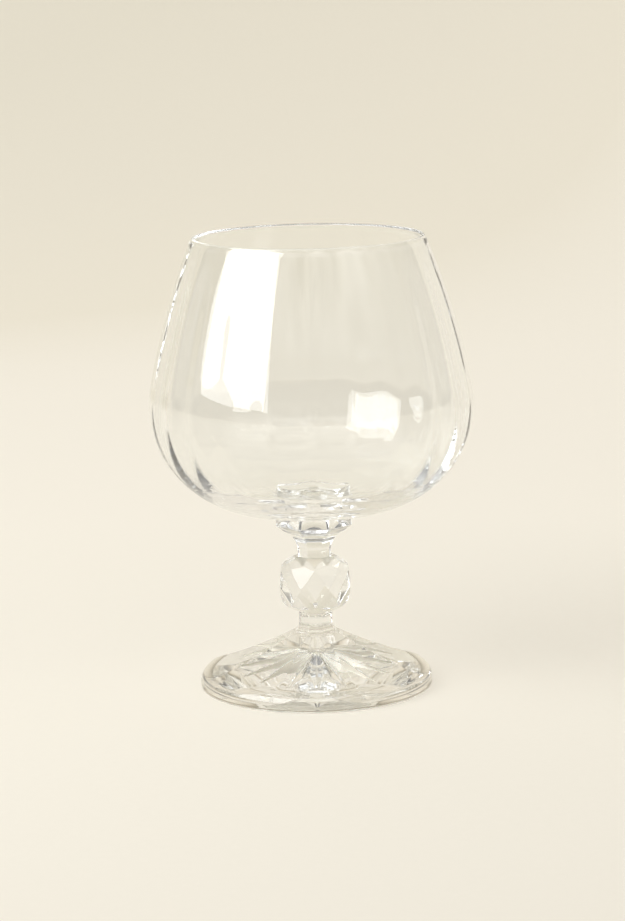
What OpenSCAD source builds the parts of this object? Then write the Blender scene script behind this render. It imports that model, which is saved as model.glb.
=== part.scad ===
// Brandy glass: a blown bowl on a faceted stem with a panelled foot.
// Millimetres, +Z up, origin at the centre of the plane the foot rests on.

/* [Stem faces] */
// Number of flat faces round the stem and the foot
sides = 8; // [6:2:12]

/* [Foot] */
// Diameter of the foot
foot_d = 70; // [66:1:80]
// Height of the foot up to the neck
foot_h = 16.3; // [15:0.1:19]
// Height of the panels at the foot's edge, in the middle of a face
foot_edge_h = 4; // [3.5:0.1:5]
// Depth of the hollow sweep along each panel
panel_hollow = 0.9; // [0.5:0.1:1.4]
// Height of the upright part of the foot's edge
edge_upright_h = 1.8; // [1.4:0.1:2.4]
// Radius of the rounded shoulder above the upright edge
shoulder_r = 4; // [3:0.5:6]
// Radius of the rounding under the foot's edge
underside_round = 0.7; // [0.4:0.1:1]

/* [Underside pattern] */
// Width of the ring that the foot rests on
rest_ring_w = 4.5; // [3.5:0.5:6]
// Depth of the shallow hollow inside the resting ring
hollow_depth = 0.5; // [0.3:0.1:1]
// Diameter of the star of V cuts
star_d = 48; // [40:1:54]
// Depth of the cuts where they meet at the axis
star_depth = 5.4; // [4.4:0.1:6.4]
// Angle between the two walls of a cut, in degrees
cut_angle = 84; // [70:1:100]
// Diameter of the round pit in the middle of the star
pit_d = 6.4; // [5.6:0.1:7.2]
// Depth of the pit beyond the cuts
pit_more = 0.4; // [0.3:0.1:0.8]

/* [Neck under the knop] */
// Height of the neck
neck_h = 6.4; // [5.6:0.1:8]
// Distance across opposite flat faces of the neck
neck_d = 10.1; // [9:0.1:11]
// Distance across opposite flat faces where the neck meets the foot
neck_base_d = 13.4; // [12.6:0.1:15]
// Height of the flare at the bottom of the neck
neck_flare_h = 2.7; // [2:0.1:3.5]

/* [Knop] */
// Height of the knop
knop_h = 17; // [16:0.1:20]
// Distance across opposite faces at the knop's belt
belt_d = 21.1; // [20.6:0.1:23]
// Distance across the edges where the belt faces meet the crown faces
crown_d = 19.8; // [19:0.1:20.2]
// Height of that edge above the belt, as a share of half the knop's height
crown_share = 0.68; // [0.62:0.005:0.72]
// Slope of the kite-shaped faces away from upright, in degrees
kite_slope = 22; // [20:0.1:24]
// Extra reach of the kite faces beyond the belt's corners
kite_reach = 0.1; // [0.05:0.05:0.3]

/* [Collar under the bowl] */
// Height of the collar up to the lowest point of the bowl
collar_h = 12.8; // [12.2:0.1:16]
// Distance across opposite flat faces of the collar's neck
collar_neck_d = 10; // [9:0.1:11]
// Distance across opposite flat faces of the collar's lip
lip_d = 22.7; // [21.5:0.1:24]
// Height of the straight neck at the bottom of the collar
collar_neck_h = 1.9; // [1.5:0.1:3]
// Radius of the hollow flare
flare_r = 6.8; // [6:0.1:7.5]
// Angle through which the flare turns, in degrees
flare_turn = 66; // [55:1:70]
// Height of the lip's lower edge above the bottom of the collar
lip_edge_h = 10; // [9.6:0.1:11]

/* [Bowl] */
// Height of the bowl from its lowest point to the rim
bowl_h = 83.5; // [78:0.5:92]
// Outside diameter of the bowl at the belly
belly_d = 96.6; // [92:0.2:104]
// Height of the belly above the bowl's lowest point
belly_h = 33.7; // [33:0.1:36]
// Sag of the outside of the base below the arc round the belly
base_sag = 1.5; // [1:0.1:2.5]
// Sag of the inside of the base below the arc round the belly
inside_sag = 1.2; // [0.8:0.1:2.5]
// Radius of the long arc from the belly to the rim
upper_arc_r = 229; // [180:1:300]
// Outside diameter at the rim
rim_d = 69; // [66:0.5:72]
// Wall at the rim
rim_wall = 1.1; // [0.9:0.1:1.6]
// Wall at the belly
belly_wall = 1.6; // [1.3:0.1:2.2]
// Thickness of glass at the middle of the bowl's base
base_wall = 5; // [3:0.1:8]

/* [Hidden] */

// Angle between neighbouring faces and half of it
face_step = 360 / sides;
half_step = face_step / 2;

// Levels at which the pieces meet
neck_z = foot_h;
knop_z = neck_z + neck_h;
collar_z = knop_z + knop_h;
bowl_z = collar_z + collar_h;
rim_z = bowl_z + bowl_h;

// Steps along an arc in an outline
arc_steps = 12;

// Reach of shapes that are cut off by another shape
reach = 2 * max(belly_d, foot_d);

// Colours for the preview
clear_glass = [0.86, 0.91, 0.92, 0.55];
stem_glass = [0.78, 0.86, 0.88, 0.8];

// Points on an arc about a centre, from one angle to another
function arc(centre, radius, from, to, steps = arc_steps) = [
    for (i = [0:steps])
        let (a = from + (to - from) * i / steps)
        centre + radius * [cos(a), sin(a)]
];

// Points from p to q along a hollow arc whose middle lies the given depth below the chord
function hollow_arc(p, q, depth, steps = arc_steps) =
    let (
        chord = norm(q - p),
        radius = (chord * chord / 4 + depth * depth) / (2 * depth),
        along = (q - p) / chord,
        up = [-along[1], along[0]],
        centre = (p + q) / 2 + up * (radius - depth),
        half_angle = asin(chord / 2 / radius),
        down = atan2(-up[1], -up[0])
    )
    arc(centre, radius, down - half_angle, down + half_angle, steps);

// An outline mirrored to the other side of the axis
function both_sides(right) = concat(
    right,
    [for (i = [len(right) - 1:-1:0]) [-right[i][0], right[i][1]]]
);

// The bowl's curve from its lowest point to the rim: a base arc, a belly arc and a long upper arc, all tangent
function bowl_curve(low_z, sag, belly_r, rim_r) =
    let (
        arc_r = bowl_z + belly_h - low_z - sag,
        belly = [belly_r - arc_r, bowl_z + belly_h],
        base_more = (belly[0] * belly[0] + sag * sag) / (2 * sag),
        base_turn = asin(belly[0] / base_more),
        base_r = base_more + arc_r,
        to_rim = [rim_r, rim_z] - belly,
        upper_more = upper_arc_r - arc_r,
        lean = (upper_arc_r * upper_arc_r - upper_more * upper_more - to_rim * to_rim)
            / (2 * upper_more * norm(to_rim)),
        join = atan2(to_rim[1], to_rim[0]) - acos(lean),
        upper = belly - upper_more * [cos(join), sin(join)],
        rim_angle = asin((rim_z - upper[1]) / upper_arc_r)
    )
    concat(
        arc([0, low_z + base_r], base_r, -90, -90 + base_turn, 8),
        arc(belly, arc_r, -90 + base_turn, join, 28),
        arc(upper, upper_arc_r, join, rim_angle, arc_steps)
    );

// Two neighbouring points that fall together are kept once
function once(points) = [
    for (i = [0:len(points) - 1])
        if (i == 0 || norm(points[i] - points[i - 1]) > 0.001) points[i]
];

// A solid with flat faces round the axis, from an outline of half width against height
module faced(turn = 0) {
    intersection_for (k = [0:sides / 2 - 1])
        rotate([0, 0, turn + k * face_step])
            rotate([90, 0, 0])
                linear_extrude(height = reach, center = true)
                    children();
}

// The bowl's outside filled solid, which also shapes the collar's top
module bowl_block() {
    outside = bowl_curve(bowl_z, base_sag, belly_d / 2, rim_d / 2);
    rotate_extrude($fn = 180)
        polygon(once(concat(outside, [[0, rim_z]])));
}

// Thin blown bowl with a thick base
module bowl() {
    inside = bowl_curve(
        bowl_z + base_wall,
        inside_sag,
        belly_d / 2 - belly_wall,
        rim_d / 2 - rim_wall
    );
    color(clear_glass)
        difference() {
            bowl_block();
            rotate_extrude($fn = 180)
                polygon(once(concat(inside, [[rim_d / 2 - rim_wall, rim_z + 1], [0, rim_z + 1]])));
        }
}

// Flared collar whose lip takes the underside of the bowl
module collar() {
    neck_r = collar_neck_d / 2;
    flare_z = collar_z + collar_neck_h;
    flare = arc([neck_r + flare_r, flare_z], flare_r, 180, 180 - flare_turn);
    outline = concat(
        [[neck_r, collar_z]],
        flare,
        [[lip_d / 2, collar_z + lip_edge_h], [lip_d / 2, bowl_z + lip_d / 4]]
    );
    color(stem_glass)
        difference() {
            faced()
                polygon(both_sides(outline));
            bowl_block();
        }
}

// Ball cut with swelling belt faces, kite faces and crown faces
module knop() {
    half_h = knop_h / 2;
    belt_r = belt_d / 2;
    crown_h = half_h * crown_share;
    bulge = (belt_d - crown_d) / 2;
    belt_arc_r = (crown_h * crown_h + bulge * bulge) / (2 * bulge);
    belt_angle = asin(crown_h / belt_arc_r);
    kite_r = belt_r / cos(half_step) + kite_reach;
    kite_top_r = kite_r - half_h * tan(kite_slope);
    belts_and_crowns = concat(
        [[neck_d / 2, -half_h]],
        arc([belt_r - belt_arc_r, 0], belt_arc_r, -belt_angle, belt_angle, 8),
        [[collar_neck_d / 2, half_h]]
    );
    kites = [[kite_top_r, -half_h], [kite_r, 0], [kite_top_r, half_h]];
    color(stem_glass)
        translate([0, 0, knop_z + half_h])
            intersection() {
                faced()
                    polygon(both_sides(belts_and_crowns));
                faced(half_step)
                    polygon(both_sides(kites));
            }
}

// Short neck that flares out onto the foot
module neck() {
    spread = (neck_base_d - neck_d) / 2;
    flare_arc_r = (spread * spread + neck_flare_h * neck_flare_h) / (2 * spread);
    flare_angle = asin(neck_flare_h / flare_arc_r);
    centre = [neck_d / 2 + flare_arc_r, neck_z + neck_flare_h];
    outline = concat(
        arc(centre, flare_arc_r, 180 + flare_angle, 180),
        [[neck_d / 2, knop_z]]
    );
    color(stem_glass)
        faced()
            polygon(both_sides(outline));
}

// Round disc that bounds the foot, with a rounded shoulder and a rounded lower edge
module foot_disc() {
    foot_r = foot_d / 2;
    lower = arc([foot_r - underside_round, underside_round], underside_round, -90, 0, 6);
    shoulder = arc([foot_r - shoulder_r, edge_upright_h], shoulder_r, 0, 50);
    outline = concat(
        [[0, 0]],
        lower,
        shoulder,
        [[foot_r - shoulder_r, foot_h + 1], [0, foot_h + 1]]
    );
    rotate_extrude($fn = 180)
        polygon(outline);
}

// One V cut of the star, deepest at the axis and running out at the star's edge
module cut() {
    star_r = star_d / 2;
    fall = atan(star_depth / star_r);
    start = pit_d / 6;
    tall = star_depth + 1;
    half_w = tall * tan(cut_angle / 2);
    translate([0, 0, star_depth])
        rotate([90 + fall, 0, 0])
            translate([0, 0, start])
                linear_extrude(height = star_r + tall)
                    polygon([[0, 0], [-half_w, -tall], [half_w, -tall]]);
}

// Round pit in which the cuts of the star meet
module pit() {
    pit_r = pit_d / 2;
    pit_z = star_depth + pit_more - pit_r;
    ball = arc([0, pit_z], pit_r, 0, 90);
    rotate_extrude($fn = 48)
        polygon(concat([[0, -1], [pit_r, -1]], ball));
}

// Shallow domed hollow inside the resting ring
module hollow() {
    hollow_r = foot_d / 2 - rest_ring_w;
    dome_r = (hollow_r * hollow_r + hollow_depth * hollow_depth) / (2 * hollow_depth);
    half_angle = asin(hollow_r / dome_r);
    dome = arc([0, hollow_depth - dome_r], dome_r, 90 - half_angle, 90, 6);
    rotate_extrude($fn = 180)
        polygon(concat([[0, -1], [hollow_r, -1]], dome));
}

// Panelled foot with a star cut underneath
module foot() {
    panel = hollow_arc([foot_d / 2, foot_edge_h], [neck_base_d / 2, foot_h], panel_hollow, 6);
    fall = (foot_h - foot_edge_h) / (foot_d - neck_base_d) * 2;
    outer = [foot_d * 0.6, foot_edge_h - foot_d * 0.1 * fall];
    outline = concat([[foot_d * 0.6, -1], outer], panel);
    color(stem_glass)
        difference() {
            intersection() {
                foot_disc();
                faced()
                    polygon(both_sides(outline));
            }
            hollow();
            pit();
            for (k = [0:2 * sides - 1])
                rotate([0, 0, k * half_step])
                    cut();
        }
}

bowl();
collar();
knop();
neck();
foot();
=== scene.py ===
"""Looks of the brandy glass: finely divided clear-glass pieces in place of the CAD nodes, on pale paper."""

import math

import bpy
from mathutils import Matrix, Vector


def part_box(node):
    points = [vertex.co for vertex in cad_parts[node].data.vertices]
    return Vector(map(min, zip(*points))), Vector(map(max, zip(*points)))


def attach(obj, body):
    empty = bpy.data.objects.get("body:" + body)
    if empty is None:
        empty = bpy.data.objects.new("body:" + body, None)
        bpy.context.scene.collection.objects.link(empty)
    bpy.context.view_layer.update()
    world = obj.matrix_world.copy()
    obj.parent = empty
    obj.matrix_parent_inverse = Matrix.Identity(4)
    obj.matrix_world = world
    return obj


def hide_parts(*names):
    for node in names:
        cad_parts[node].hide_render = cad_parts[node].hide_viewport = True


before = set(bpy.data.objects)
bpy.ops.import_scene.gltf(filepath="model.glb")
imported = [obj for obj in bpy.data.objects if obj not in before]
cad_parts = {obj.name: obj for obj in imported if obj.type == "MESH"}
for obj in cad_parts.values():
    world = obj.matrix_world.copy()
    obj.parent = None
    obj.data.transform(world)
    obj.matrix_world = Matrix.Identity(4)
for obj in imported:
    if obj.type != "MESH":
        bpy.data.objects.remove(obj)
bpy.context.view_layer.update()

MM = 0.001

# Levels and widths taken from the frame, in millimetres
_, foot_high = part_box("foot")
_, neck_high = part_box("neck")
knop_low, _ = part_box("knop")
collar_low, collar_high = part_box("collar")
bowl_low, bowl_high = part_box("bowl")

FOOT_R = foot_high.x / MM
FOOT_H = foot_high.z / MM
NECK_BASE_R = neck_high.x / MM
KNOP_Z = knop_low.z / MM
COLLAR_Z = collar_low.z / MM
LIP_R = collar_high.x / MM
BOWL_Z = bowl_low.z / MM
RIM_Z = bowl_high.z / MM
BELLY_R = min(bowl_high.x, bowl_high.y) / MM

# The values below are sizes that the frame's boxes don't give, in millimetres and degrees unless said

# Flat faces round the stem and the foot, and the direction of the front one
SIDES = 8
FACE_STEP = 360 / SIDES
FRONT = 270

# Bowl
BELLY_H = 33.7
BASE_SAG = 1.5
INSIDE_SAG = 1.2
UPPER_ARC_R = 229.0
RIM_R = 34.5
RIM_WALL = 1.1
BELLY_WALL = 1.6
BASE_WALL = 5.0

# Optic ripple inside the bowl, which fades out towards the base and is faint at the rim
FLUTES = 24
FLUTE_DEPTH = 0.33
FLUTE_FADE_LOW_H = 22
FLUTE_FADE_HIGH_H = 25
FLUTE_RIM_SHARE = 0.2

# Uneven rings in the thick base, with their turns in radians for each millimetre
BASE_RING_DEPTH = 0.035
BASE_RING_TURN = 1.6
BASE_RING_SWAY = 0.9
BASE_RING_SWAY_TURN = 0.37
BASE_RING_FADE_R = 8
BASE_RING_FADE_H = 14

# Fused patch between bowl and collar: its rings as shares of the lip, and the margin round it
PATCH_SHARES = (0.25, 0.5, 0.75, 1)
PATCH_MARGIN = 0.3

# Collar
COLLAR_NECK_R = 5.0
COLLAR_NECK_H = 1.9
FLARE_R = 6.8
FLARE_TURN = 66
LIP_EDGE_H = 10.0
LIP_ROUND = 0.25

# Knop
KNOP_NECK_R = 5.0
BELT_R = 10.55
CROWN_R = 9.9
CROWN_SHARE = 0.68
KITE_SLOPE = 22.0
KITE_REACH = 0.1

# Neck
NECK_R = 5.05
NECK_FLARE_H = 2.7

# Top and edge of the foot
FOOT_EDGE_H = 4.0
PANEL_HOLLOW = 0.9
EDGE_UPRIGHT_H = 1.8
SHOULDER_R = 4.0
SHOULDER_TURN = 50
SHOULDER_LEAN = 0.2
UNDERSIDE_ROUND = 0.7

# Underside of the foot
REST_RING_W = 4.5
HOLLOW_R = FOOT_R - REST_RING_W
HOLLOW_DEPTH = 0.5
STAR_R = 24.0
STAR_DEPTH = 5.4
CUT_ANGLE = 84
CUT_STEP = FACE_STEP / 2
PIT_R = 3.2
PIT_MORE = 0.4

# Slope of the cuts' bottoms, in radians, and steepness of their walls, as rise over run
CUT_FALL = math.atan(STAR_DEPTH / STAR_R)
CUT_STEEPNESS = 1 / (math.tan(math.radians(CUT_ANGLE / 2)) * math.cos(CUT_FALL))

# Sharpness of the upright edges between faces, as a power
EDGE_POWER = 110

# Softness of the pressed and cut edges, and the height below which the underside is flat
PRESSED_SOFTNESS = 0.01
CUT_SOFTNESS = 0.02
FLAT_BELOW = 0.02

# Fineness of the meshes, in steps
OUTSIDE_STEPS = 16
INSIDE_STEPS = 24
FLUTE_STEPS = 12
RIM_STEPS = 10
FLARE_STEPS = 24
CORNER_STEPS = 4
KNOP_FACE_STEPS = 40
KNOP_STEPS = 96
NECK_STEPS = 20
STAR_STEPS = 100
CUT_STEPS = 6
REST_STEPS = 12
ROUND_STEPS = 6
SHOULDER_STEPS = 14
PANEL_STEPS = 36

# Slot numbers on every piece
GLASS = 0
JOINT = 1


def limit(value, low, high):
    """A value held between two others."""
    return min(high, max(low, value))


def soft_least(values, softness):
    """The least of some values, with the corner between them softened."""
    least = min(values)
    total = sum(math.exp((least - v) / softness) for v in values)
    return least - softness * math.log(total)


def soft_most(values, softness):
    """The most of some values, with the corner between them softened."""
    return -soft_least([-v for v in values], softness)


def arc(centre, radius, start, end, steps):
    """Points on an arc about a centre, from one angle to another in degrees."""
    points = []
    for i in range(steps + 1):
        a = math.radians(start + (end - start) * i / steps)
        points.append((centre[0] + radius * math.cos(a), centre[1] + radius * math.sin(a)))
    return points


def soft_corner(before, corner, after, radius):
    """Points round a softened corner between two straight lines."""
    to_before = (Vector(before) - Vector(corner)).normalized()
    to_after = (Vector(after) - Vector(corner)).normalized()
    half = to_before.angle(to_after) / 2
    reach = radius / math.tan(half)
    start = Vector(corner) + to_before * reach
    end = Vector(corner) + to_after * reach
    centre = Vector(corner) + (to_before + to_after).normalized() * (radius / math.sin(half))
    points = []
    for i in range(CORNER_STEPS + 1):
        spot = start.lerp(end, i / CORNER_STEPS) - centre
        points.append(tuple(centre + spot.normalized() * radius))
    return points


def even_angles(count, start=0):
    """Evenly spread directions round the axis, in degrees."""
    return [start + 360 * i / count for i in range(count)]


def mirrored_angles(count, offsets):
    """Directions round the axis that repeat some offsets on both sides of evenly spread middles."""
    angles = []
    for middle in even_angles(count, FRONT):
        angles += [middle - a for a in reversed(offsets[1:])]
        angles += [middle + a for a in offsets[:-1]]
    return angles


def faced_angles():
    """Directions round the axis that crowd together at the corners between faces."""
    shares = [0, 0.25, 0.5, 0.7, 0.83, 0.91, 0.955, 0.98, 1]
    return mirrored_angles(SIDES, [FACE_STEP / 2 * s for s in shares])


def face_spread(angle):
    """Softened largest cosine between a direction and the face directions: 1 in the middle of a face."""
    total = 0.0
    for k in range(SIDES):
        share = math.cos(math.radians(angle - FRONT - k * FACE_STEP))
        if share > 0:
            total += share ** EDGE_POWER
    return total ** (1 / EDGE_POWER)


def ring_point(radius, angle, height):
    """A point in metres from a radius, direction and height in millimetres."""
    a = math.radians(angle)
    return Vector((radius * math.cos(a), radius * math.sin(a), height)) * MM


def axis_ring(height):
    """A single point on the axis."""
    return [ring_point(0, 0, height)]


def round_ring(radius, height, angles):
    """A round ring at one height."""
    return [ring_point(radius, a, height) for a in angles]


def faced_ring(half_width, height, angles, spread):
    """A ring with flat faces at one height."""
    return [ring_point(half_width / s, a, height) for a, s in zip(angles, spread)]


def skin(name, rings, joints_low, joints_high):
    """A closed mesh over rings of equal count, from axis to axis, with fused bands at its ends."""
    vertices = []
    starts = []
    for ring in rings:
        starts.append(len(vertices))
        vertices += ring
    bands = len(rings) - 1
    count = len(rings[1])
    faces = []
    slots = []
    for i in range(bands):
        low, high = starts[i], starts[i + 1]
        fused_band = i < joints_low or i >= bands - joints_high
        for j in range(count):
            k = (j + 1) % count
            if i == 0:
                faces.append((low, high + k, high + j))
            elif i == bands - 1:
                faces.append((low + j, low + k, high))
            else:
                faces.append((low + j, low + k, high + k, high + j))
            slots.append(JOINT if fused_band else GLASS)
    mesh = bpy.data.meshes.new(name)
    mesh.from_pydata(vertices, [], faces)
    mesh.polygons.foreach_set("material_index", slots)
    mesh.polygons.foreach_set("use_smooth", [True] * len(faces))
    mesh.update()
    piece = bpy.data.objects.new(name, mesh)
    bpy.context.scene.collection.objects.link(piece)
    return piece


def finish_piece(piece, node, glass, joint):
    """Gives a piece its materials, weighted normals and its place in the frame."""
    piece.data.materials.append(glass)
    piece.data.materials.append(joint)
    normals = piece.modifiers.new("even_normals", "WEIGHTED_NORMAL")
    normals.keep_sharp = True
    normals.weight = 60
    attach(piece, "root")
    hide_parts(node)


def bowl_curve(low_z, sag, belly_r, rim_r, steps):
    """The bowl's curve from its lowest point to the rim, as a base arc, a belly arc and an upper arc."""
    arc_r = BOWL_Z + BELLY_H - low_z - sag
    belly = Vector((belly_r - arc_r, BOWL_Z + BELLY_H))
    base_more = (belly.x ** 2 + sag ** 2) / (2 * sag)
    base_turn = math.degrees(math.asin(belly.x / base_more))
    base_r = base_more + arc_r
    to_rim = Vector((rim_r, RIM_Z)) - belly
    upper_more = UPPER_ARC_R - arc_r
    lean = (UPPER_ARC_R ** 2 - upper_more ** 2 - to_rim.length_squared) / (2 * upper_more * to_rim.length)
    join = math.degrees(math.atan2(to_rim.y, to_rim.x) - math.acos(lean))
    turn = Vector((math.cos(math.radians(join)), math.sin(math.radians(join))))
    upper = belly - upper_more * turn
    rim_angle = math.degrees(math.asin((RIM_Z - upper.y) / UPPER_ARC_R))
    base = arc((0, low_z + base_r), base_r, -90, -90 + base_turn, steps)
    side = arc(belly, arc_r, -90 + base_turn, join, 3 * steps)
    wall = arc(upper, UPPER_ARC_R, join, rim_angle, 2 * steps)
    return base[:-1] + side[:-1] + wall


def bowl_outside():
    """Curve of the bowl's outside."""
    return bowl_curve(BOWL_Z, BASE_SAG, BELLY_R, RIM_R, OUTSIDE_STEPS)


def bowl_inside():
    """Curve of the bowl's inside."""
    low_z = BOWL_Z + BASE_WALL
    return bowl_curve(low_z, INSIDE_SAG, BELLY_R - BELLY_WALL, RIM_R - RIM_WALL, INSIDE_STEPS)


def height_on(curve, radius):
    """Height of the rising first part of a curve at a radius."""
    for (r0, z0), (r1, z1) in zip(curve, curve[1:]):
        if r0 <= radius <= r1:
            return z0 + (z1 - z0) * (radius - r0) / (r1 - r0)
    return curve[-1][1]


def patch_rings(angles):
    """Rings of the round fused patch under the bowl, from the inner one to the outer one."""
    outside = bowl_outside()
    rings = []
    for share in PATCH_SHARES:
        r = share * LIP_R
        rings.append(round_ring(r, height_on(outside, r), angles))
    return rings


def flute_depth(height):
    """Depth of the optic ripple at a height."""
    above_base = limit((height - BOWL_Z - BASE_WALL) / FLUTE_FADE_LOW_H, 0, 1)
    below_rim = limit((RIM_Z - height) / FLUTE_FADE_HIGH_H, FLUTE_RIM_SHARE, 1)
    fade = above_base * below_rim
    return FLUTE_DEPTH * fade * fade * (3 - 2 * fade)


def base_swell(radius, height):
    """Slight rings left in the thick base by the blowing, fading out on the axis and up the wall."""
    below_wall = limit(1 - (height - BOWL_Z - BASE_WALL) / BASE_RING_FADE_H, 0, 1)
    fade = below_wall * limit(radius / BASE_RING_FADE_R, 0, 1)
    sway = BASE_RING_SWAY * math.sin(radius * BASE_RING_SWAY_TURN)
    return BASE_RING_DEPTH * fade * math.sin(radius * BASE_RING_TURN + sway)


def make_bowl():
    """Blown bowl: smooth outside, rounded rim, optic ripple inside and a fused patch under the base."""
    angles = even_angles(FLUTES * FLUTE_STEPS)
    rim_round = RIM_WALL / 2
    rim_low = RIM_Z - rim_round
    rim_start = 20
    rings = [axis_ring(BOWL_Z)] + patch_rings(angles)
    for r, z in bowl_outside():
        past_patch = r > LIP_R + PATCH_MARGIN or z > BOWL_Z + BELLY_H
        if past_patch and z < rim_low:
            rings.append(round_ring(r, z, angles))
    for r, z in arc((RIM_R - rim_round, rim_low), rim_round, rim_start, rim_start + 180, RIM_STEPS):
        rings.append(round_ring(r, z, angles))
    for r, z in reversed(bowl_inside()[1:]):
        if z > rim_low:
            continue
        depth = flute_depth(z)
        swell = base_swell(r, z)
        ring = []
        for a in angles:
            wave = 0.5 - 0.5 * math.cos(math.radians(a * FLUTES))
            ring.append(ring_point(r - depth * wave, a, z + swell))
        rings.append(ring)
    rings.append(axis_ring(BOWL_Z + BASE_WALL))
    return skin("glass_bowl", rings, joints_low=len(PATCH_SHARES), joints_high=0)


def make_collar():
    """Flared collar with an upright lip, closed by fused faces to the knop and the bowl."""
    angles = faced_angles()
    spread = [face_spread(a) for a in angles]
    flare_z = COLLAR_Z + COLLAR_NECK_H
    flare = arc((COLLAR_NECK_R + FLARE_R, flare_z), FLARE_R, 180, 180 - FLARE_TURN, FLARE_STEPS)
    edge = (LIP_R, COLLAR_Z + LIP_EDGE_H)
    outline = [(COLLAR_NECK_R, COLLAR_Z)] + flare
    outline += soft_corner(flare[-1], edge, (LIP_R, BOWL_Z), LIP_ROUND)
    rings = [axis_ring(COLLAR_Z)]
    for r, z in outline:
        rings.append(faced_ring(r, z, angles, spread))
    rings += reversed(patch_rings(angles))
    rings.append(axis_ring(BOWL_Z))
    return skin("glass_collar", rings, joints_low=1, joints_high=len(PATCH_SHARES))


def belt_half_width(rise, half_h):
    """Half width of the belt and crown faces at a distance above or below the middle of the knop."""
    crown_h = half_h * CROWN_SHARE
    if rise > crown_h:
        share = (rise - crown_h) / (half_h - crown_h)
        return CROWN_R + (KNOP_NECK_R - CROWN_R) * share
    bulge = BELT_R - CROWN_R
    arc_r = (crown_h ** 2 + bulge ** 2) / (2 * bulge)
    return BELT_R - arc_r + math.sqrt(arc_r ** 2 - rise ** 2)


def knop_radius(angle, belt, kite):
    """Distance from the axis to the knop's side in a direction, from the half widths of its faces."""
    facing_share = 0.5
    reach = []
    for k in range(2 * SIDES):
        share = math.cos(math.radians(angle - FRONT - k * FACE_STEP / 2))
        if share > facing_share:
            reach.append((belt if k % 2 == 0 else kite) / share)
    return soft_least(reach, CUT_SOFTNESS)


def make_knop():
    """Cut ball with belt, crown and kite faces, closed by fused faces at both ends."""
    half_h = (COLLAR_Z - KNOP_Z) / 2
    kite_r = BELT_R / math.cos(math.radians(FACE_STEP / 2)) + KITE_REACH
    lean = math.tan(math.radians(KITE_SLOPE))
    angles = even_angles(SIDES * KNOP_FACE_STEPS)
    rings = [axis_ring(KNOP_Z)]
    for i in range(KNOP_STEPS + 1):
        rise = half_h * (2 * i / KNOP_STEPS - 1)
        belt = belt_half_width(abs(rise), half_h)
        kite = kite_r - abs(rise) * lean
        z = KNOP_Z + half_h + rise
        rings.append([ring_point(knop_radius(a, belt, kite), a, z) for a in angles])
    rings.append(axis_ring(COLLAR_Z))
    return skin("glass_knop", rings, joints_low=1, joints_high=1)


def make_neck():
    """Short neck that flares onto the foot, closed by fused faces."""
    angles = faced_angles()
    spread = [face_spread(a) for a in angles]
    sideways = NECK_BASE_R - NECK_R
    flare_arc_r = (sideways ** 2 + NECK_FLARE_H ** 2) / (2 * sideways)
    flare_angle = math.degrees(math.asin(NECK_FLARE_H / flare_arc_r))
    flare_z = FOOT_H + NECK_FLARE_H
    outline = arc((NECK_R + flare_arc_r, flare_z), flare_arc_r, 180 + flare_angle, 180, NECK_STEPS)
    outline += [(NECK_R, (flare_z + KNOP_Z) / 2), (NECK_R, KNOP_Z)]
    rings = [axis_ring(FOOT_H)]
    for r, z in outline:
        rings.append(faced_ring(r, z, angles, spread))
    rings.append(axis_ring(KNOP_Z))
    return skin("glass_neck", rings, joints_low=1, joints_high=1)


def hollow_height(radius):
    """Height of the shallow domed hollow inside the resting ring."""
    dome_r = (HOLLOW_R ** 2 + HOLLOW_DEPTH ** 2) / (2 * HOLLOW_DEPTH)
    return HOLLOW_DEPTH - dome_r + math.sqrt(dome_r ** 2 - min(radius, HOLLOW_R) ** 2)


def underside_height(radius, angle):
    """Height of the foot's underside: flat resting ring, shallow hollow, star of V cuts and round pit."""
    heights = [0.0, hollow_height(radius)]
    turn = (angle - FRONT + CUT_STEP / 2) % CUT_STEP - CUT_STEP / 2
    for k in (-1, 0, 1):
        a = math.radians(turn + k * CUT_STEP)
        along = radius * math.cos(a)
        across = abs(radius * math.sin(a))
        heights.append(STAR_DEPTH * (1 - along / STAR_R) - across * CUT_STEEPNESS)
    if radius < PIT_R:
        heights.append(STAR_DEPTH + PIT_MORE - PIT_R + math.sqrt(PIT_R ** 2 - radius ** 2))
    if max(heights) < FLAT_BELOW:
        return 0.0
    return max(0.0, soft_most(heights, PRESSED_SOFTNESS) - PRESSED_SOFTNESS * math.log(2))


def star_angles(radius):
    """Directions round the axis that follow the bottoms, edges and ridges of the cuts at a radius."""
    half = CUT_STEP / 2
    least_share = 0.06
    most_share = 0.94
    slope = math.hypot(math.tan(CUT_FALL), CUT_STEEPNESS)
    level = min(1, (STAR_DEPTH - hollow_height(radius)) / (radius * slope))
    edge = math.degrees(math.atan2(CUT_STEEPNESS, math.tan(CUT_FALL)) - math.acos(level))
    edge = limit(edge, least_share * half, most_share * half)
    wall = [edge * i / CUT_STEPS for i in range(CUT_STEPS)]
    land = [edge + (half - edge) * i / CUT_STEPS for i in range(CUT_STEPS + 1)]
    return mirrored_angles(2 * SIDES, wall + land)


def underside_rings(angles):
    """Rings over the underside, which follow the cuts and turn into even ones by the resting ring."""
    star_margin = 1
    rest_margin = 0.2
    star_edge_r = STAR_R + star_margin
    rest_edge_r = HOLLOW_R + rest_margin
    rings = [axis_ring(underside_height(0, 0))]
    for i in range(1, STAR_STEPS + 1):
        r = star_edge_r * i / STAR_STEPS
        rings.append([ring_point(r, a, underside_height(r, a)) for a in star_angles(r)])
    for i in range(1, REST_STEPS + 1):
        share = i / REST_STEPS
        r = star_edge_r + (rest_edge_r - star_edge_r) * share
        turned = [a + (b - a) * share for a, b in zip(star_angles(r), angles)]
        rings.append([ring_point(r, a, underside_height(r, a)) for a in turned])
    return rings


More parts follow.
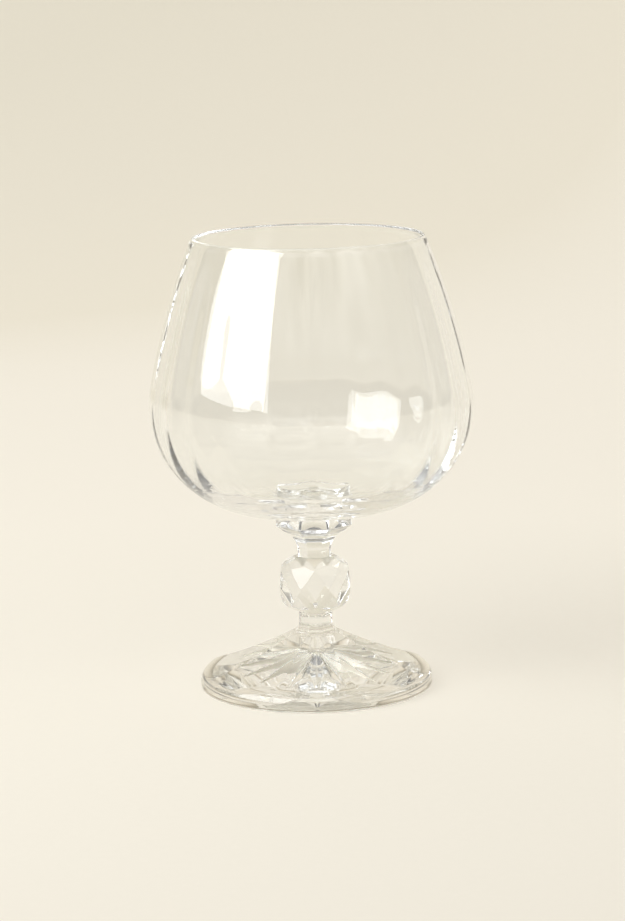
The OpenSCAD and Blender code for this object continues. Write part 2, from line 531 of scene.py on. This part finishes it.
def panel_height(half_width):
    """Height of the hollow panels at a distance from the axis, measured square to the face."""
    low = Vector((FOOT_R, FOOT_EDGE_H))
    high = Vector((NECK_BASE_R, FOOT_H))
    chord = high - low
    radius = (chord.length_squared / 4 + PANEL_HOLLOW ** 2) / (2 * PANEL_HOLLOW)
    up = Vector((chord.y, -chord.x)).normalized()
    centre = (low + high) / 2 + up * (radius - PANEL_HOLLOW)
    return centre.y - math.sqrt(radius ** 2 - (half_width - centre.x) ** 2)


def shoulder_point(way):
    """Radius and height on the foot's shoulder: way 0 to 1 is its rounding, and above 1 its steep side."""
    turn = math.radians(SHOULDER_TURN * min(way, 1))
    r = FOOT_R - SHOULDER_R * (1 - math.cos(turn))
    z = EDGE_UPRIGHT_H + SHOULDER_R * math.sin(turn)
    rise = max(0, way - 1) * SHOULDER_R
    return r - rise * SHOULDER_LEAN, z + rise


def panel_edge(spread):
    """Way along the shoulder at which it meets the panel, for a direction's spread, found by halving."""
    halvings = 40
    low = 0.0
    high = 2.0
    for _ in range(halvings):
        way = (low + high) / 2
        r, z = shoulder_point(way)
        if z < panel_height(r * spread):
            low = way
        else:
            high = way
    return low


def shoulder_rings(angles, edges):
    """Rings over the rounded shoulder, up to the edges of the panels."""
    rings = []
    for i in range(SHOULDER_STEPS):
        ring = []
        for a, edge in zip(angles, edges):
            r, z = shoulder_point(edge * i / SHOULDER_STEPS)
            ring.append(ring_point(r, a, z))
        rings.append(ring)
    return rings


def panel_rings(angles, spread, edges):
    """Rings over the panels, from their outer edges towards the neck."""
    rings = []
    for i in range(PANEL_STEPS):
        share = i / PANEL_STEPS
        ring = []
        for a, s, edge in zip(angles, spread, edges):
            edge_r, _ = shoulder_point(edge)
            r = edge_r + (NECK_BASE_R / s - edge_r) * share
            ring.append(ring_point(r, a, panel_height(r * s)))
        rings.append(ring)
    return rings


def make_foot():
    """Panelled foot: star-cut underside, rounded edge, hollow panels and a fused face to the neck."""
    angles = even_angles(len(star_angles(STAR_R)), FRONT - CUT_STEP / 2)
    spread = [face_spread(a) for a in angles]
    edges = [panel_edge(s) for s in spread]
    rings = underside_rings(angles)
    for r, z in arc((FOOT_R - UNDERSIDE_ROUND, UNDERSIDE_ROUND), UNDERSIDE_ROUND, -90, 0, ROUND_STEPS):
        rings.append(round_ring(r, z, angles))
    rings += shoulder_rings(angles, edges)
    rings += panel_rings(angles, spread, edges)
    rings.append(faced_ring(NECK_BASE_R, FOOT_H, angles, spread))
    rings.append(axis_ring(FOOT_H))
    return skin("glass_foot", rings, joints_low=0, joints_high=1)


def start_nodes(owner, output_kind):
    """Gives a material or world an empty set of nodes, with its output alone."""
    owner.use_nodes = True
    nodes = owner.node_tree.nodes
    nodes.clear()
    return nodes, owner.node_tree.links, nodes.new(output_kind)


def set_ramp(node, stops):
    """Gives a colour ramp its stops, each a position and a colour."""
    elements = node.color_ramp.elements
    first, *between, last = stops
    for element, (position, colour) in zip(elements, (first, last)):
        element.position = position
        element.color = (*colour, 1)
    for position, colour in between:
        elements.new(position).color = (*colour, 1)


def new_range(nodes, from_low, from_high, to_low, to_high):
    """A node that carries one range of numbers over to another."""
    node = nodes.new("ShaderNodeMapRange")
    node.inputs["From Min"].default_value = from_low
    node.inputs["From Max"].default_value = from_high
    node.inputs["To Min"].default_value = to_low
    node.inputs["To Max"].default_value = to_high
    return node


def new_math(nodes, operation):
    """A node that works out a number from others."""
    node = nodes.new("ShaderNodeMath")
    node.operation = operation
    return node


def glass_material(name, ripple_size, ripple_strength):
    """Clear glass with a faint surface ripple, sized in millimetres, and a trace of uneven polish."""
    tint = (0.985, 0.99, 0.985)
    most_roughness = 0.003
    ripple_height = 0.1
    material = bpy.data.materials.new(name)
    nodes, links, output = start_nodes(material, "ShaderNodeOutputMaterial")
    glass = nodes.new("ShaderNodeBsdfPrincipled")
    glass.inputs["Base Color"].default_value = (*tint, 1)
    glass.inputs["Transmission Weight"].default_value = 1
    glass.inputs["IOR"].default_value = 1.53
    place = nodes.new("ShaderNodeTexCoord")
    polish = nodes.new("ShaderNodeTexNoise")
    polish.inputs["Scale"].default_value = 60
    polish.inputs["Detail"].default_value = 3
    shine = new_range(nodes, 0, 1, 0, most_roughness)
    ripple = nodes.new("ShaderNodeTexNoise")
    ripple.inputs["Scale"].default_value = 1 / (ripple_size * MM)
    ripple.inputs["Detail"].default_value = 1
    bump = nodes.new("ShaderNodeBump")
    bump.inputs["Strength"].default_value = ripple_strength
    bump.inputs["Distance"].default_value = ripple_height * MM
    links.new(place.outputs["Object"], polish.inputs["Vector"])
    links.new(place.outputs["Object"], ripple.inputs["Vector"])
    links.new(polish.outputs["Fac"], shine.inputs["Value"])
    links.new(shine.outputs["Result"], glass.inputs["Roughness"])
    links.new(ripple.outputs["Fac"], bump.inputs["Height"])
    links.new(bump.outputs["Normal"], glass.inputs["Normal"])
    links.new(glass.outputs["BSDF"], output.inputs["Surface"])
    return material


def joint_material():
    """Fused faces between pieces, which light crosses as if the glass went on."""
    material = bpy.data.materials.new("fused_joint")
    nodes, links, output = start_nodes(material, "ShaderNodeOutputMaterial")
    clear = nodes.new("ShaderNodeBsdfTransparent")
    links.new(clear.outputs["BSDF"], output.inputs["Surface"])
    return material


def lit_paper(nodes, links, place):
    """Cream paper with a fine grain, lit by the lamp and the room."""
    grain = nodes.new("ShaderNodeTexNoise")
    grain.inputs["Scale"].default_value = 400
    tone = nodes.new("ShaderNodeValToRGB")
    set_ramp(tone, [(0, (0.88, 0.83, 0.72)), (1, (0.92, 0.87, 0.76))])
    paper = nodes.new("ShaderNodeBsdfDiffuse")
    links.new(place.outputs["Object"], grain.inputs["Vector"])
    links.new(grain.outputs["Fac"], tone.inputs["Fac"])
    links.new(tone.outputs["Color"], paper.inputs["Color"])
    return paper.outputs["BSDF"]


def glow_with_painted_shade(nodes, links, place):
    """Glow of the paper with painted shade: darker up the backdrop, sooner on the left, and a little in the
    foreground.
    """
    leftward_more = -4
    darkest_z = 0.24
    foreground_y = -0.22
    foreground_strength = 0.90
    split = nodes.new("ShaderNodeSeparateXYZ")
    leftward = new_math(nodes, "MULTIPLY_ADD")
    leftward.inputs[1].default_value = leftward_more
    leftward.inputs[2].default_value = 1
    rise = new_math(nodes, "MULTIPLY")
    height = new_range(nodes, 0, darkest_z, 0, 1)
    tone = nodes.new("ShaderNodeValToRGB")
    # Painted shade: the glow's tone darkens up the backdrop, and sooner on the left
    set_ramp(tone, [
        (0, (0.96, 0.90, 0.78)),
        (0.13, (0.86, 0.795, 0.65)),
        (0.45, (0.82, 0.76, 0.625)),
        (1, (0.78, 0.725, 0.59)),
    ])
    # Painted shade: the glow dims a little in the foreground
    foreground = new_range(nodes, foreground_y, 0, foreground_strength, 1)
    even = nodes.new("ShaderNodeEmission")
    links.new(place.outputs["Object"], split.inputs["Vector"])
    links.new(split.outputs["X"], leftward.inputs[0])
    links.new(leftward.outputs["Value"], rise.inputs[0])
    links.new(split.outputs["Z"], rise.inputs[1])
    links.new(rise.outputs["Value"], height.inputs["Value"])
    links.new(height.outputs["Result"], tone.inputs["Fac"])
    links.new(split.outputs["Y"], foreground.inputs["Value"])
    links.new(tone.outputs["Color"], even.inputs["Color"])
    links.new(foreground.outputs["Result"], even.inputs["Strength"])
    return even.outputs["Emission"]


def painted_glow_share(nodes, links, place):
    """Share of the glow, only for eyes and the glass, by distance: none under the foot, which paints shade
    there, and a little more round the foot than further out, which paints light into its shadow.
    """
    full_distance = 0.25
    # Painted shade under the foot, where the glow share is none, and painted light round the foot, where a
    # raised share lightens its shadow
    foot_edge_shares = [(0.112, 0), (0.126, 0.32), (0.14, 0.60), (0.165, 0.66)]
    floor_shares = [(0.24, 0.58), (0.45, 0.56)]
    far_share = 0.70
    path = nodes.new("ShaderNodeLightPath")
    seen = new_math(nodes, "ADD")
    looked = new_math(nodes, "ADD")
    looked.use_clamp = True
    distance = nodes.new("ShaderNodeVectorMath")
    distance.operation = "LENGTH"
    spread = new_range(nodes, 0, full_distance, 0, 1)
    glow_by_distance = nodes.new("ShaderNodeFloatCurve")
    curve = glow_by_distance.mapping.curves[0]
    curve.points[0].location = (0, 0)
    curve.points[1].location = (1, far_share)
    for reach, amount in foot_edge_shares + floor_shares:
        curve.points.new(reach, amount)
    glow_by_distance.mapping.update()
    share = new_math(nodes, "MULTIPLY")
    links.new(path.outputs["Is Camera Ray"], seen.inputs[0])
    links.new(path.outputs["Is Glossy Ray"], seen.inputs[1])
    links.new(seen.outputs["Value"], looked.inputs[0])
    links.new(path.outputs["Is Transmission Ray"], looked.inputs[1])
    links.new(place.outputs["Object"], distance.inputs[0])
    links.new(distance.outputs["Value"], spread.inputs["Value"])
    links.new(spread.outputs["Result"], glow_by_distance.inputs["Value"])
    links.new(looked.outputs["Value"], share.inputs[0])
    links.new(glow_by_distance.outputs["Value"], share.inputs[1])
    return share.outputs["Value"]


def sweep_material():
    """Pale cream paper that eyes and glass see as partly a glow with painted shade and partly lit."""
    material = bpy.data.materials.new("cream_paper")
    nodes, links, output = start_nodes(material, "ShaderNodeOutputMaterial")
    place = nodes.new("ShaderNodeTexCoord")
    choose = nodes.new("ShaderNodeMixShader")
    links.new(painted_glow_share(nodes, links, place), choose.inputs["Fac"])
    links.new(lit_paper(nodes, links, place), choose.inputs[1])
    links.new(glow_with_painted_shade(nodes, links, place), choose.inputs[2])
    links.new(choose.outputs["Shader"], output.inputs["Surface"])
    return material


def make_sweep():
    """Floor that curves up into a backdrop, in metres."""
    near_y = -0.9
    bend_y = 0.55
    bend_r = 0.5
    bend_steps = 12
    top_z = 1.6
    half_width = 1.8
    bend = arc((bend_y, bend_r), bend_r, -90, 0, bend_steps)
    outline = [(near_y, 0)] + bend + [(bend_y + bend_r, top_z)]
    vertices = []
    for y, z in outline:
        vertices.append((-half_width, y, z))
        vertices.append((half_width, y, z))
    faces = [(2 * i, 2 * i + 1, 2 * i + 3, 2 * i + 2) for i in range(len(outline) - 1)]
    mesh = bpy.data.meshes.new("sweep")
    mesh.from_pydata(vertices, [], faces)
    mesh.polygons.foreach_set("use_smooth", [True] * len(faces))
    mesh.materials.append(sweep_material())
    sweep = bpy.data.objects.new("sweep", mesh)
    bpy.context.scene.collection.objects.link(sweep)


def make_key():
    """Rectangular soft lamp, high on the left in front of the glass."""
    place = Vector((-0.712, -0.420, 0.576))
    target = Vector((0.084, 0.096, 0.259))
    lamp = bpy.data.lights.new("key", "AREA")
    lamp.shape = "RECTANGLE"
    lamp.size = 0.90
    lamp.size_y = 0.72
    lamp.energy = 9.6
    lamp.color = (0.95, 0.98, 1.0)
    key = bpy.data.objects.new("key", lamp)
    bpy.context.scene.collection.objects.link(key)
    key.location = place
    key.rotation_euler = (target - place).to_track_quat("-Z", "Y").to_euler()


def make_world():
    """Uneven room: in front brownish below, dark at eye level and bright overhead, and dim behind."""
    front_y = -0.4
    behind_y = 0.4
    behind_tone = (0.24, 0.235, 0.225)
    clutter_low = 0.35
    clutter_high = 0.65
    clutter_most = 2
    world = bpy.data.worlds.new("room")
    bpy.context.scene.world = world
    nodes, links, output = start_nodes(world, "ShaderNodeOutputWorld")
    background = nodes.new("ShaderNodeBackground")
    background.inputs["Strength"].default_value = 0.9
    place = nodes.new("ShaderNodeTexCoord")
    split = nodes.new("ShaderNodeSeparateXYZ")
    level = new_range(nodes, -1, 1, 0, 1)
    front_tone = nodes.new("ShaderNodeValToRGB")
    set_ramp(front_tone, [
        (0.40, (0.50, 0.38, 0.27)),
        (0.52, (0.05, 0.04, 0.03)),
        (0.66, (0.10, 0.10, 0.10)),
        (0.85, (1.2, 1.2, 1.2)),
        (1, (0.8, 0.79, 0.77)),
    ])
    clutter = nodes.new("ShaderNodeTexNoise")
    clutter.inputs["Scale"].default_value = 4.5
    clutter.inputs["Detail"].default_value = 2
    patches = new_range(nodes, clutter_low, clutter_high, 0, clutter_most)
    uneven = nodes.new("ShaderNodeVectorMath")
    uneven.operation = "SCALE"
    depth = new_range(nodes, front_y, behind_y, 0, 1)
    mixed = nodes.new("ShaderNodeMixRGB")
    mixed.inputs["Color2"].default_value = (*behind_tone, 1)
    links.new(place.outputs["Generated"], split.inputs["Vector"])
    links.new(split.outputs["Z"], level.inputs["Value"])
    links.new(level.outputs["Result"], front_tone.inputs["Fac"])
    links.new(split.outputs["Y"], depth.inputs["Value"])
    links.new(depth.outputs["Result"], mixed.inputs["Fac"])
    links.new(place.outputs["Generated"], clutter.inputs["Vector"])
    links.new(clutter.outputs["Fac"], patches.inputs["Value"])
    links.new(front_tone.outputs["Color"], uneven.inputs[0])
    links.new(patches.outputs["Result"], uneven.inputs["Scale"])
    links.new(uneven.outputs["Vector"], mixed.inputs["Color1"])
    links.new(mixed.outputs["Color"], background.inputs["Color"])
    links.new(background.outputs["Background"], output.inputs["Surface"])


def make_camera():
    """Camera at the place, tilt and lens that fit the photo's outline."""
    place = (0, -0.8653, 0.2312)
    downward = 10.647
    roll = -1.16
    lens = bpy.data.cameras.new("camera")
    lens.sensor_width = 36
    lens.lens = 115.19
    camera = bpy.data.objects.new("camera", lens)
    bpy.context.scene.collection.objects.link(camera)
    tilted = Matrix.Rotation(math.radians(90 - downward), 4, "X")
    rolled = Matrix.Rotation(math.radians(roll), 4, "Z")
    camera.matrix_world = Matrix.Translation(place) @ tilted @ rolled
    bpy.context.scene.camera = camera


def set_scene():
    """Plain view transform, bounces for many layers of glass, and a slight blur of light through it."""
    glass_bounces = 96
    joint_bounces = 32
    scene = bpy.context.scene
    scene.view_settings.view_transform = "Standard"
    scene.cycles.max_bounces = glass_bounces
    scene.cycles.transmission_bounces = glass_bounces
    scene.cycles.glossy_bounces = glass_bounces
    scene.cycles.transparent_max_bounces = joint_bounces
    scene.cycles.blur_glossy = 0.28


bowl_glass = glass_material("blown_glass", ripple_size=14, ripple_strength=0.02)
stem_glass = glass_material("pressed_glass", ripple_size=6, ripple_strength=0.015)
fused = joint_material()
finish_piece(make_bowl(), "bowl", bowl_glass, fused)
finish_piece(make_collar(), "collar", stem_glass, fused)
finish_piece(make_knop(), "knop", stem_glass, fused)
finish_piece(make_neck(), "neck", stem_glass, fused)
finish_piece(make_foot(), "foot", stem_glass, fused)

make_sweep()
make_key()
make_world()
make_camera()
set_scene()
